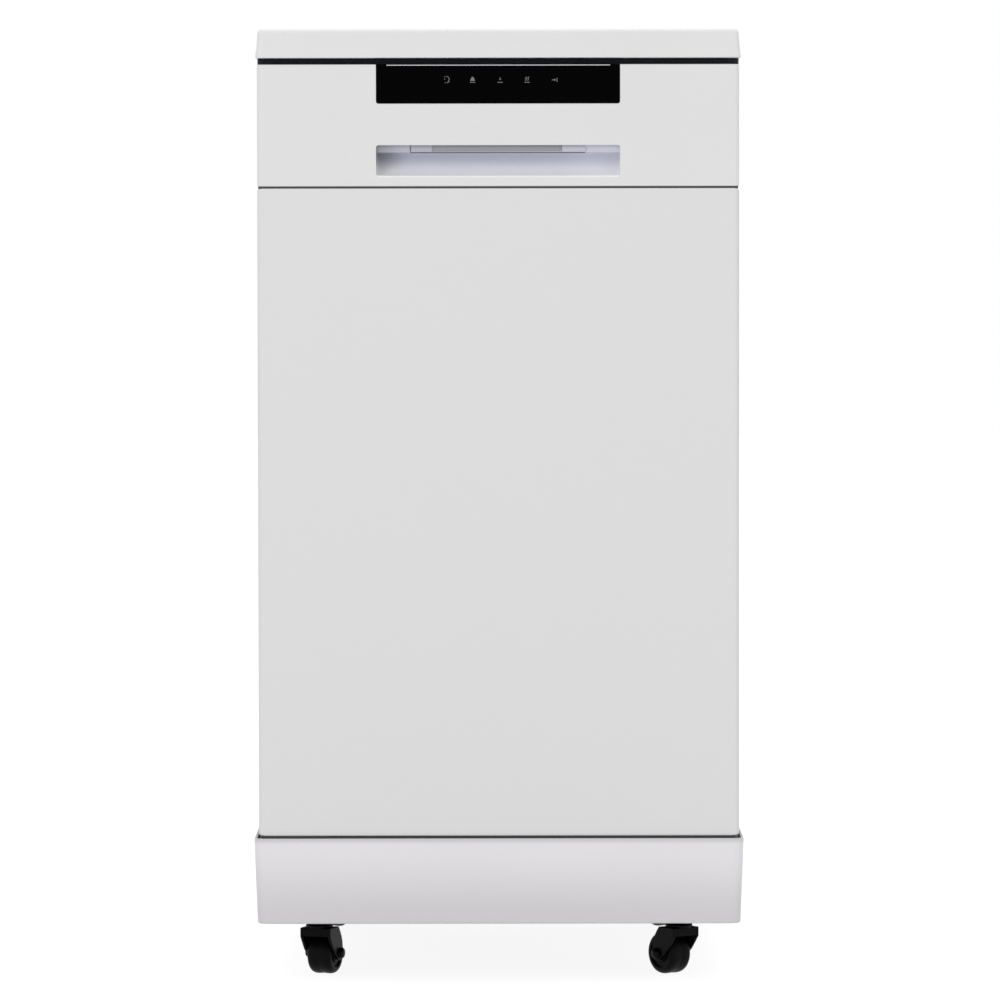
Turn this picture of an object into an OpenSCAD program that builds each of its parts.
// Portable front-loading dishwasher on casters, narrow class.
// Origin on the floor in the middle of the footprint, front faces -Y, +Z up, mm.

/* [Cabinet] */
// Height from the floor to the top of the worktop, mm
overall_h = 900; // [885:1:915]
// Width over the base surround, mm
overall_w = 461; // [457:1:470]
// Depth over the base surround, mm
overall_d = 610; // [600:1:620]
// Height of the worktop edge, mm
worktop_h = 27; // [25:1:30]
// Dark gap between worktop and control panel, mm
top_gap = 6; // [5:0.5:8]
// Corner radius of the worktop and the front panels, mm
edge_r = 5; // [3:0.5:7]

/* [Door and control panel] */
// Height of the control panel, mm
console_h = 114; // [112:1:120]
// Width of the finger recess, mm
recess_w = 230; // [200:1:240]
// Width of the black display band, mm
display_w = 228.4; // [200:0.2:232]
// Height of the black display band on the front, mm
display_h = 36.6; // [30:0.2:40]
// Width of the latch flap inside the recess, mm
flap_w = 164; // [140:1:180]
// Button stroke, mm
button_stroke = 1.5; // [1:0.1:2]

/* [Base and casters] */
// Height of the rim of the base surround, mm
surround_top = 139; // [130:1:140]
// Height of the lower edge of the base surround, mm
surround_bottom = 60; // [58:1:64]
// Diameter of the caster wheels, mm
wheel_d = 40; // [38:1:42]
// Width of the caster wheels, mm
wheel_w = 24; // [18:0.5:26]
// Distance from swivel axis to wheel axle, mm
caster_trail = 15; // [12:0.5:18]
// Swivel angle of the front left caster, degrees
turn_left = -20; // [-90:1:90]
// Swivel angle of the front right caster, degrees
turn_right = 37; // [-90:1:90]

/* [Inside] */
// Height of the wheels' track on the tub floor, mm
floor_z = 201; // [200:0.5:202]
// Wire radius of the racks, mm
wire_r = 1.6; // [1.3:0.1:1.8]
// Height of the lower rack, mm
lower_rack_h = 125; // [100:1:140]
// Height of the upper rack, mm
upper_rack_h = 95; // [80:1:110]
// Radial play of pins and bores, mm
play = 0.05; // [0.02:0.01:0.1]

/* [Hidden] */

hw = overall_w / 2;              // half width over the surround
hd = overall_d / 2;              // half depth over the surround
dh = hw - 4.5;                   // half width of the door
sp = dh - 1.5;                   // outer face of the side panels
yf = -(hd - 5);                  // front face of the door
yh = yf + 30;                    // hinge axis, Y
zh = 177;                        // hinge axis, Z
wt_bot = overall_h - worktop_h;  // underside of the worktop
con_top = wt_bot - top_gap;
con_bot = con_top - console_h;
door_top = con_bot - 2;
door_bot = 142.4;
yr = yh + 6;                     // back face of the liner rim
tw = dh - 26;                    // half width of the tub
ty = hd - 47;                    // half depth of the tub
tub_top = wt_bot - 35;
ft = ty + 40;
rf = -(ty - 28);                 // front of both racks
rb = ty - 33;                    // back of both racks
zl = 220;                        // bottom wires of the lower rack
zu = tub_top - 293;              // bottom wires of the upper rack
lx = tw - 28;                    // half width of the lower rack
ux = tw - 24;                    // half width of the upper rack
base_z = 59;                     // underside of the base tray
swx = hw - 58.5;                 // swivel axes, X
swy = hd - 100;                  // swivel axes, Y
fork_in = wheel_w / 2 + 0.8;     // inner face of the fork cheeks
fork_out = fork_in + 2.7;        // outer face of the fork cheeks

module bx(a, b, c, d, e, f) translate([a, c, e]) cube([b - a, d - c, f - e]);
module both() { children(); mirror([1, 0, 0]) children(); }
module cx(x0, x1, y, z, r, n = 48)
  translate([x0, y, z]) rotate([0, 90, 0]) cylinder(h = x1 - x0, r = r, $fn = n);
module cy(y0, y1, x, z, r, n = 48)
  translate([x, y0, z]) rotate([-90, 0, 0]) cylinder(h = y1 - y0, r = r, $fn = n);
module cz(z0, z1, x, y, r, n = 48)
  translate([x, y, z0]) cylinder(h = z1 - z0, r = r, $fn = n);
// rounded rectangle drawn with short straight steps
function rr_pts(w, h, r, n = 4) = [for (c = [0:3], i = [0:n])
  let (a = 90 * c + 90 * i / n, sx = (c == 0 || c == 3) ? 1 : -1, sy = (c < 2) ? 1 : -1)
  [sx * (w / 2 - r) + r * cos(a), sy * (h / 2 - r) + r * sin(a)]];
module rr(w, h, r, n = 4) polygon(rr_pts(w, h, r, n));
// plan outline with rounded front corners, open side at the back
function front_pts(a, y0, y1, r, n = 4) = concat(
  [[-a, y1]], [for (i = [0:n]) [-a + r - r * cos(90 * i / n), y0 + r - r * sin(90 * i / n)]],
  [for (i = [n:-1:0]) [a - r + r * cos(90 * i / n), y0 + r - r * sin(90 * i / n)]], [[a, y1]]);
// extrude a (y, z) outline along X
module along_x(x0, x1) translate([x0, 0, 0]) rotate([90, 0, 90]) linear_extrude(x1 - x0) children();

// ---- cabinet ----
module worktop_board() color("white")
  translate([0, 0, overall_h - 20]) linear_extrude(20) rr(2 * (dh - 16), 2 * (hd - 19), 6);

module worktop_frame() color("whitesmoke") difference() {
  union() {
    translate([0, 0, wt_bot]) linear_extrude(3) rr(2 * dh + 3, 2 * hd - 3, edge_r + 1);
    translate([0, 0, wt_bot + 3]) linear_extrude(worktop_h - 5)
      rr(2 * dh + 1, 2 * hd - 5, edge_r + 0.5);
    translate([0, 0, overall_h - 2]) linear_extrude(2) rr(2 * dh - 1, 2 * hd - 7, edge_r);
  }
  translate([0, 0, overall_h - 20]) linear_extrude(21) rr(2 * (dh - 15.7), 2 * (hd - 18.7), 6);
  translate([0, 0, wt_bot - 1]) linear_extrude(20) rr(2 * (dh - 24), 2 * (hd - 27), 6);
}

module side_panels() color("white") both() {
  difference() {
    union() {
      bx(sp - 1.2, sp, yh, hd - 9, 141, wt_bot);
      bx(sp - 1.2, sp, yh, hd - 18, 66, 142);
    }
    bx(sp - 2, sp + 1, yh - 1, yh + 38, 128, 152);
  }
  bx(sp - 3, sp, yh, yh + 3, 195, wt_bot);
  bx(sp - 14, sp, hd - 10.2, hd - 9, 212, wt_bot);
  bx(sp - 14, sp, -200, 200, wt_bot - 1.2, wt_bot);
}

module rear_panel() color("lightgray") difference() {
  union() {
    bx(-sp + 0.5, sp - 0.5, hd - 8.8, hd - 7.6, 100, wt_bot - 1);
    bx(-110, 110, hd - 34.2, hd - 8.2, 146, 206);
  }
  bx(-108.8, 108.8, hd - 33, hd, 147.2, 204.8);
  cy(hd - 40, hd, 80, 176, 13.6);
  cy(hd - 40, hd, -80, 176, 9.4);
  cy(hd - 40, hd, 0, 176, 8.8);
  for (i = [0:5]) bx(-150, 150, hd - 9, hd, 260 + 16 * i, 264 + 16 * i);
}

module tub() color("silver") difference() {
  union() {
    bx(-tw, tw, -ty, ty, floor_z - 1.2, tub_top);
    bx(-165, 165, -(ty - 23), ty - 18, 189.8, floor_z);
    bx(-tw - 22, tw + 22, -ty, -ty + 1.2, 190, tub_top + 12);
  }
  bx(-tw + 1.2, tw - 1.2, -ty - 1, ty - 1.2, floor_z, tub_top - 1.2);
  bx(-163.8, 163.8, -(ty - 24.2), ty - 19.2, 191, floor_z + 1);
  cz(188, 192, 0, 95, 34);
  cz(188, 192, 0, 0, 13);
  cz(188, 192, -130, -170, 4.6);
}

module tub_gasket() color("dimgray") difference() {
  bx(-tw - 11, tw + 11, -ty - 5.7, -ty, 204, tub_top + 11);
  bx(-tw - 3, tw + 3, -ty - 6, -ty + 1, 203, tub_top + 3);
}

module top_braces() color("darkgray") {
  difference() {
    bx(-sp + 2.5, sp - 2.5, -ty + 1.6, -ty + 30, tub_top + 2, wt_bot - 2);
    bx(-sp, sp, -ty, -ty + 28.8, tub_top + 3.2, wt_bot - 3.2);
  }
  difference() {
    bx(-sp + 2.5, sp - 2.5, ty + 4, ty + 34, tub_top + 2, wt_bot - 2);
    bx(-sp, sp, ty + 5.2, ty + 35, tub_top + 3.2, wt_bot - 3.2);
  }
}

// ---- base ----
module base_tray() color("dimgray") {
  difference() {
    bx(-sp + 7.5, sp - 7.5, -(hd - 21), hd - 21, base_z, 120);
    bx(-sp + 10, sp - 10, -(hd - 23.5), hd - 23.5, base_z + 2.5, 121);
  }
  for (y = [-215, 215]) both() bx(174, 194, y - 10, y + 10, base_z + 2, floor_z - 1.2);
  both() bx(204, 210, yh - 5, yh + 1, base_z + 2, 80);
}

module surround_shape(o, z0, z1) hull() {
  translate([0, 0, z0]) linear_extrude(0.01)
    rr(overall_w - 6 - 2 * o, overall_d - 6 - 2 * o, 10 - o, 5);
  translate([0, 0, z1 - 0.01]) linear_extrude(0.01)
    rr(overall_w - 2 * o, overall_d - 2 * o, 10 - o, 5);
}
module base_surround() color("gainsboro") {
  difference() {
    surround_shape(0, surround_bottom, surround_top);
    surround_shape(3, surround_bottom - 0.1, surround_top + 0.1);
  }
  translate([0, 0, surround_bottom]) linear_extrude(2.5) difference() {
    rr(overall_w - 7, overall_d - 7, 9, 5);
    square([2 * (sp - 7.1), 2 * (hd - 20.6)], center = true);
  }
}

module cord_gland() color("black") difference() {
  union() { cy(hd - 43, hd - 33, 0, 176, 8.5); cy(hd - 33, hd - 26, 0, 176, 13); }
  cy(hd - 44, hd - 25, 0, 176, 4.2);
}

// ---- water system ----
module sump() color("dimgray") difference() {
  union() {
    cz(130, 189.8, 0, 80, 58);
    bx(-18, 18, -18, 40, 160, 189.8);
    cz(189, 203.5, 0, 0, 12);
    cz(203, 210.5, 0, 0, 8);
  }
  cz(148, 190, 0, 95, 32.4);
  cz(134, 149, 0, 85, 30);
}

module circulation_pump() color("gray") {
  cx(-175, -85, 60, 108, 36);
  cx(-86, -60.5, 60, 108, 42);
  bx(-160, -100, 45, 75, base_z + 2.5, 80);
}

module drain_pump() color("gray") {
  cx(62, 122, 150, 100, 24);
  bx(75, 110, 140, 160, base_z + 2.5, 80);
}

module inlet_valve() color("gray") difference() {
  union() {
    bx(62, 98, hd - 67, hd - 34.4, 150, 188);
    cy(hd - 36, hd - 15, 80, 176, 13.2);
    cy(hd - 33, hd - 30, 80, 176, 15);
  }
  cy(hd - 50, hd - 14, 80, 176, 9);
}

module drain_outlet() color("gray") difference() {
  union() { cy(hd - 43, hd - 13, -80, 176, 9); cy(hd - 33, hd - 30, -80, 176, 15); }
  cy(hd - 44, hd - 12, -80, 176, 7);
}

module air_breaker() color("white") difference() {
  bx(-sp + 3.5, -tw - 3, -60, 140, 260, 520);
  for (i = [0:4]) bx(-sp, -tw - 8, -40 + 36 * i, -24 + 36 * i, 275, 505);
}

module water_duct() color("gray") difference() {
  union() {
    bx(-14, 14, ty - 11.5, ty - 1.2, floor_z, zu + 7);
    cy(ty - 22, ty - 11, 0, zu - 6.5, 13);
  }
  cy(ty - 23, ty - 5, 0, zu - 6.5, 9.5);
}

module float() color("whitesmoke") {
  cz(191.3, 206, -130, -170, 16);
  cz(205.9, 209, -130, -170, 12);
  cz(165, 192, -130, -170, 4);
}

module filter_mesh() color("silver") difference() {
  bx(-100, 100, 25, 165, 191, 192.5);
  cz(190, 193, 0, 95, 32.4);
}

module filter_cup() color("silver") difference() {
  union() {
    cz(150, 193.5, 0, 95, 32);
    cz(193, 195, 0, 95, 35);
    bx(-31, 31, 93.4, 96.6, 194, 201);
  }
  difference() { cz(152, 196, 0, 95, 30); bx(-31, 31, 93.4, 96.6, 190, 202); }
}

// plan outline of a spray arm, l = half length
function arm_pts(l) = [[-l, -9], [-l + 8, -14], [-40, -17], [-14, -21], [14, -21], [l - 8, -10],
  [l, -5], [l, 9], [l - 8, 14], [40, 17], [14, 21], [-14, 21], [-l + 8, 10], [-l, 5]];
module lower_spray_arm() color("gray") difference() {
  rotate([0, 0, 28]) union() {
    translate([0, 0, 204]) linear_extrude(9) polygon(arm_pts(158));
    for (x = [-140, -115, -90, -60, 60, 90, 115, 140]) cz(212.9, 214.4, x, 0, 5, 8);
    cz(204, 215, 0, 0, 16, 12);
  }
  cz(203, 211.5, 0, 0, 8 + play);
}

// ---- lower rack and basket ----
module wire_x(x0, x1, y, z, r = wire_r) cx(x0, x1, y, z, r, 6);
module wire_y(y0, y1, x, z, r = wire_r) cy(y0, y1, x, z, r, 6);
module wire_z(z0, z1, x, y, r = wire_r) cz(z0, z1, x, y, r, 6);
module loop(a, y0, y1, z, r) {
  wire_x(-a, a, y0, z, r); wire_x(-a, a, y1, z, r);
  wire_y(y0, y1, -a, z, r); wire_y(y0, y1, a, z, r);
}
module basket(a, z0, h, nx, ny) {
  loop(a, rf, rb, z0, wire_r);
  loop(a, rf, rb, z0 + h * 0.5, wire_r);
  loop(a, rf, rb, z0 + h, 2.5);
  for (i = [1:nx - 1]) {
    x = -a + 2 * a * i / nx;
    wire_y(rf, rb, x, z0);
    wire_z(z0, z0 + h, x, rf); wire_z(z0, z0 + h, x, rb);
  }
  for (j = [1:ny - 1]) {
    y = rf + (rb - rf) * j / ny;
    wire_x(-a, a, y, z0);
    wire_z(z0, z0 + h, -a, y); wire_z(z0, z0 + h, a, y);
  }
}
module lower_rack() color("lightsteelblue") {
  basket(lx, zl, lower_rack_h, 8, 8);
  for (x = [-43, -lx * 0.75]) for (j = [0:7])
    wire_z(zl, zl + 85, x, rf + (rb - rf) * (j + 0.75) / 8.5);
  for (x = [43, lx * 0.75]) for (j = [2:7])
    wire_z(zl, zl + 85, x, rf + (rb - rf) * (j + 0.75) / 8.5);
  for (x = [-43, -lx * 0.75, 43, lx * 0.75]) wire_y(rf, rb, x, zl);
  for (y = [-170, 150]) both() {
    bx(lx - 1.5, lx + 3, y - 9, y + 9, 208, 236);
    cx(lx + 2, lx + 15.6, y, floor_z + 15, 3, 24);
  }
}
module wheel_pair(y, z, x0, x1, r, b) both() difference() {
  cx(x0, x1, y, z, r);
  cx(x0 - 1, x1 + 1, y, z, b + play, 24);
}
module lower_front_wheels() color("gray")
  wheel_pair(-170, floor_z + 15, tw - 21, tw - 13, 14.7, 3);
module lower_rear_wheels() color("gray")
  wheel_pair(150, floor_z + 15, tw - 21, tw - 13, 14.7, 3);

module cutlery_basket() color("gray") difference() {
  union() {
    bx(25, 163, -214, -134, 222, 336);
    bx(92.5, 95.5, -214, -134, 330, 392);
    bx(90, 98, -200, -148, 384, 392);
  }
  for (x = [27, 95.5], y = [-212, -173]) bx(x, x + 65.5, y, y + 37, 224, 340);
  bx(89, 99, -202, -146, 350, 384);
}

// ---- upper rack ----
module upper_rack() color("lightsteelblue") {
  basket(ux, zu, upper_rack_h, 8, 8);
  for (y = [-25, 175]) both() {
    bx(ux - 1.5, ux + 3, y - 10, y + 10, zu - 1.5, zu + 22);
    cx(ux + 2, tw - 10.6, y, zu + 8, 2.5, 24);
  }
  for (y = [-126, 84]) bx(-ux - 1, -ux + 8.5, y - 2, y + 2, zu + 45, zu + 60);
  cy(-126, -109, -ux + 6, zu + 56.5, 1.5, 24);
  cy(67, 84, -ux + 6, zu + 56.5, 1.5, 24);
}
module upper_front_wheels() color("gray") wheel_pair(-25, zu + 8, tw - 15.5, tw - 10.7, 10.5, 2.5);
module upper_rear_wheels() color("gray") wheel_pair(175, zu + 8, tw - 15.5, tw - 10.7, 10.5, 2.5);

module upper_rails() color("silver") both() difference() {
  bx(tw - 17, tw - 9, rf - 2, rb + 3, zu - 4, zu + 20);
  bx(tw - 18, tw - 10.2, rf - 3, rb + 4, zu - 2.8, zu + 18.8);
}
module rail_guides() color("gray") both() for (y = [rf - 14, -20]) {
  bx(tw - 7, tw - 1.2, y, y + 16, zu - 14, zu + 30);
  bx(tw - 11.5, tw - 6, y, y + 16, zu + 20.4, zu + 27);
  bx(tw - 11.5, tw - 6, y, y + 16, zu - 11, zu - 4.4);
}
module upper_feed_tube() color("gray") {
  difference() {
    bx(-9, 9, -12, rb + 8, zu - 11, zu - 1.7);
    bx(-7, 7, -10, rb + 9, zu - 9, zu - 3.5);
  }
  cz(zu - 21.5, zu - 10.8, 0, 0, 8);
  cz(zu - 25.5, zu - 21.4, 0, 0, 12, 12);
}
module upper_spray_arm() color("gray") difference() {
  rotate([0, 0, -35]) union() {
    translate([0, 0, zu - 20.7]) linear_extrude(8.5) polygon(arm_pts(165));
    for (x = [-145, -110, -75, 75, 110, 145]) cz(zu - 12.3, zu - 11.4, x, 0, 5, 8);
  }
  cz(zu - 22, zu - 11, 0, 0, 8 + play);
}
module cup_shelf() color("lightsteelblue") difference() {
  union() {
    cy(-115.5, 73.5, -ux + 6, zu + 56.5, 3.2, 24);
    difference() {
      bx(-ux + 6, -ux + 78, -113, 71, zu + 55.2, zu + 57.8);
      for (i = [0:8]) bx(-ux + 13, -ux + 73, -107 + 19.6 * i, -93 + 19.6 * i, zu + 50, zu + 60);
    }
  }
  cy(-117, -107.5, -ux + 6, zu + 56.5, 1.5 + play, 24);
  cy(65.5, 75, -ux + 6, zu + 56.5, 1.5 + play, 24);
}

// ---- door ----
module door_outer_panel() color("white") difference() {
  translate([0, 0, door_bot]) linear_extrude(door_top - door_bot)
    polygon(front_pts(dh, yf, yh - 2, edge_r));
  translate([0, 0, door_bot + 1]) linear_extrude(door_top - door_bot - 2)
    polygon(front_pts(dh - 1, yf + 1, yh, edge_r - 1));
  bx(-dh + 1, dh - 1, yh - 7, yh, door_bot - 1, door_bot + 1.5);
  both() bx(198, dh - 1, yf + edge_r, yh, door_bot - 1, door_bot + 1.5);
}

module door_liner() color("silver") difference() {
  union() {
    bx(-dh + 6, dh - 6, yr - 1.2, yr, 192, tub_top + 12);
    bx(-tw + 12, tw - 12, yr - 0.5, yr + 8, 214, tub_top - 26);
    both() bx(tw - 24, tw - 6, yr - 0.5, yr + 16, 204, 470);
  }
  bx(-tw + 13.2, tw - 13.2, yr - 2, yr + 6.8, 215.2, tub_top - 27.2);
  both() bx(tw - 22.8, tw - 7.2, yr - 2, yr + 14.8, 205.2, 468.8);
  bx(-78, 58, yr - 2, yr + 9, 466, 574);
}

// (y, z) outline of the finger scoop
scoop_pts = concat([[yf - 1, con_top - 75.5], [yf + 28, con_top - 75.5]],
  [for (i = [0:9]) [yf - 4 + 33 * cos(9 * i) , con_top - 82 - 24 * sin(9 * i)]],
  [[yf - 1, con_top - 106.2]]);
module console() color("white") difference() {
  union() {
    difference() {
      translate([0, 0, con_bot]) linear_extrude(console_h)
        polygon(front_pts(dh, yf, yh - 2, edge_r));
      translate([0, 0, con_bot + 3]) linear_extrude(console_h - 6)
        polygon(front_pts(dh - 3, yf + 3, yr, edge_r - 2));
    }
    difference() {
      bx(-dh + 7, dh - 7, yf + 6, yr - 1.2, con_bot, con_top);
      bx(-dh + 10, dh - 10, yf + 3, yr, con_bot + 3, con_top - 3);
    }
    bx(-recess_w / 2 - 3, recess_w / 2 + 3, yf + 2, yf + 32, con_bot + 2, con_top - 73.5);
    both() bx(flap_w / 2 + 1.5, flap_w / 2 + 6, yf + 2, yf + 15, con_top - 74, con_top - 64);
  }
  along_x(-recess_w / 2, recess_w / 2) polygon(scoop_pts);
  bx(-flap_w / 2 - 0.5, flap_w / 2 + 0.5, yf + 2.6, yf + 13, con_top - 77, con_top - 60);
  cx(-flap_w / 2 - 7, flap_w / 2 + 7, yf + 9, con_top - 70, 2.5 + play, 32);
  bx(-display_w / 2 - 0.2, display_w / 2 + 0.2, yf - 1, yf + 2, con_top - display_h - 0.2, con_top + 1);
  bx(-display_w / 2 - 0.2, display_w / 2 + 0.2, yf - 1, yf + 24, con_top - 2, con_top + 1);
  for (x = [-60, 0, 60]) bx(x - 12.4, x + 12.4, yf + 8.6, yf + 16.4, con_top - 10, con_top + 1);
}
module display_window() color("black") difference() {
  union() {
    bx(-display_w / 2, display_w / 2, yf - 0.2, yf + 2, con_top - display_h, con_top);
    bx(-display_w / 2, display_w / 2, yf - 0.2, yf + 23.8, con_top - 2, con_top);
  }
  for (x = [-60, 0, 60]) bx(x - 12.4, x + 12.4, yf + 8.6, yf + 16.4, con_top - 10, con_top + 1);
}
module button_at(x)
  bx(x - 12, x + 12, yf + 9, yf + 16, con_top - 7.5 + button_stroke, con_top + 1);
module button_power() color("dimgray") button_at(-60);
module button_program() color("dimgray") button_at(0);
module button_start() color("dimgray") button_at(60);

module latch_lever() color("lightgray") {
  bx(-flap_w / 2, flap_w / 2, yf + 4.5, yf + 7.5, con_top - 82.6, con_top - 68.5);
  cx(-flap_w / 2 - 5.5, flap_w / 2 + 5.5, yf + 9, con_top - 70, 2.5, 32);
}
module latch_tongue() color("silver") difference() {
  union() {
    bx(-12, 12, yr - 4, yf + 55, con_top - 14, con_top - 8);
    bx(-20, 20, yr - 4, yr - 1.2, con_top - 42, con_top - 7);
  }
  bx(-7, 7, yf + 42, yf + 51, con_top - 15, con_top - 7);
}
module door_catch() color("dimgray") difference() {
  bx(-25, 25, -ty + 3, -ty + 28.8, con_top - 22, con_top - 1);
  bx(-14, 14, -ty + 2, -ty + 18, con_top - 15.6, con_top - 6.4);
}
module control_board() color("darkgreen") {
  bx(-100, 100, yf + 10, yf + 11.6, con_top - 61, con_top - 32);
  bx(-70, -40, yf + 11, yf + 24, con_top - 58, con_top - 38);
  bx(10, 50, yf + 11, yf + 19, con_top - 56, con_top - 40);
}

module dispenser_body() color("gray") difference() {
  union() {
    bx(-80, 60, yr + 8, yr + 12.5, 464, 576);
    bx(-76, 56, yr - 18, yr + 8.1, 468, 572);
  }
  bx(-70, -15, yr - 15, yr + 13, 478, 562);
  cy(yr - 15, yr + 13, 25, 535, 16);
}
module dispenser_lid() color("silver") {
  bx(-73, -12, yr + 12.8, yr + 15.3, 474, 566);
  bx(-30, -24, yr + 15.2, yr + 18, 490, 550);
}
module rinse_cap() color("dimgray") {
  cy(yr + 2, yr + 13.2, 25, 535, 15.6);
  cy(yr + 13, yr + 15.5, 25, 535, 18.5);
  bx(10, 40, yr + 15.4, yr + 20, 532.5, 537.5);
}
module door_bottom_seal() color("dimgray") bx(-tw, tw, yr, yr + 5.6, 193, 200.5);

// ---- hinge ----
module hinge_arms() color("silver") both() {
  along_x(sp - 11.5, sp - 8.5) difference() {
    union() {
      polygon([[yh - 9, zh + 1], [yh + 8, zh + 1], [yh + 2, zh + 15], [yh - 2, zh + 30],
        [yh - 2, 420], [yh - 24, 420], [yh - 24, zh + 25], [yh - 14, zh + 10]]);
      translate([yh, zh]) circle(r = 9, $fn = 48);
      polygon([[yh - 6, zh], [yh + 6, zh], [yh + 4, zh - 45], [yh - 4, zh - 45]]);
    }
    translate([yh, zh]) circle(r = 4 + play, $fn = 48);
  }
  cx(sp - 21, sp - 11.4, yh, zh - 40, 2, 24);
}
module hinge_brackets() color("darkgray") both() {
  along_x(sp - 7.5, sp - 3) union() {
    translate([yh, zh]) circle(r = 8, $fn = 48);
    polygon([[yh, zh - 1.5], [yh + 48, zh - 1.5], [yh + 48, 92], [yh + 70, 92],
      [yh + 70, zh + 11], [yh + 6, zh + 11], [yh - 2, zh + 6]]);
  }
  cx(sp - 13, sp - 7, yh, zh, 4);
}
module door_springs() color("silver") both()
  translate([sp - 17.5, yh - 2, 80]) rotate([-2, 0, 0]) {
    cz(1, 7, 0, 0, 1.2, 12);
    cz(6.9, 48, 0, 0, 5, 24);
    cz(47.9, 54.5, 0, 0, 1.2, 12);
  }

// ---- casters ----
module at_caster(sx, sy, a) translate([sx * swx, sy * swy, 0]) rotate([0, 0, a]) children();
module caster_plates() color("silver")
  for (sx = [-1, 1], sy = [-1, 1]) translate([sx * swx, sy * swy, 0]) difference() {
    union() { bx(-19, 19, -19, 19, base_z - 2.5, base_z); cz(49.8, base_z - 2.4, 0, 0, 12); }
    cz(49, base_z + 1, 0, 0, 4 + play);
  }
module caster_fork() {
  cz(45, 49.5, 0, 0, 13);
  cz(49, 55.5, 0, 0, 4);
  bx(-fork_out, fork_out, -11, 12, 43, 46);
  both() along_x(fork_in, fork_out) polygon([[-11, 46], [12, 46], [caster_trail + 7, 26],
    [caster_trail + 7, 16], [caster_trail + 3, 12], [caster_trail - 4, 12], [-11, 36]]);
  cx(-fork_out - 1, fork_out + 1, caster_trail, wheel_d / 2, 3, 24);
  cx(-fork_out - 4, -fork_out + 0.1, caster_trail, wheel_d / 2, 5.2, 6);
  cx(fork_out - 0.1, fork_out + 4, caster_trail, wheel_d / 2, 5.2, 6);
}
module caster_wheel() translate([0, caster_trail, wheel_d / 2]) rotate([0, 90, 0])
  rotate_extrude($fn = 64) polygon([[3 + play, -wheel_w / 2], [9, -wheel_w / 2],
    [9, -wheel_w / 2 + 1.5], [14, -wheel_w / 2 + 1.5], [14, -wheel_w / 2],
    [wheel_d / 2 - 3, -wheel_w / 2], [wheel_d / 2, -wheel_w / 2 + 3],
    [wheel_d / 2, wheel_w / 2 - 3], [wheel_d / 2 - 3, wheel_w / 2], [14, wheel_w / 2],
    [14, wheel_w / 2 - 1.5], [9, wheel_w / 2 - 1.5], [9, wheel_w / 2], [3 + play, wheel_w / 2]]);
module caster_fork_fl() color("black") at_caster(-1, -1, turn_left) caster_fork();
module caster_fork_fr() color("black") at_caster(1, -1, turn_right) caster_fork();
module caster_fork_rl() color("black") at_caster(-1, 1, -12) caster_fork();
module caster_fork_rr() color("black") at_caster(1, 1, 18) caster_fork();
module caster_wheel_fl() color("black") at_caster(-1, -1, turn_left) caster_wheel();
module caster_wheel_fr() color("black") at_caster(1, -1, turn_right) caster_wheel();
module caster_wheel_rl() color("black") at_caster(-1, 1, -12) caster_wheel();
module caster_wheel_rr() color("black") at_caster(1, 1, 18) caster_wheel();

worktop_board();
worktop_frame();
side_panels();
rear_panel();
tub();
tub_gasket();
base_tray();
base_surround();
top_braces();
sump();
circulation_pump();
drain_pump();
inlet_valve();
drain_outlet();
air_breaker();
water_duct();
float();
filter_mesh();
filter_cup();
lower_spray_arm();
lower_rack();
lower_front_wheels();
lower_rear_wheels();
cutlery_basket();
upper_rack();
upper_front_wheels();
upper_rear_wheels();
upper_rails();
rail_guides();
upper_spray_arm();
upper_feed_tube();
cup_shelf();
door_outer_panel();
door_liner();
console();
display_window();
button_power();
button_program();
button_start();
latch_lever();
latch_tongue();
door_catch();
control_board();
dispenser_body();
dispenser_lid();
rinse_cap();
door_bottom_seal();
hinge_arms();
hinge_brackets();
door_springs();
caster_plates();
cord_gland();
caster_fork_fl();
caster_fork_fr();
caster_fork_rl();
caster_fork_rr();
caster_wheel_fl();
caster_wheel_fr();
caster_wheel_rl();
caster_wheel_rr();
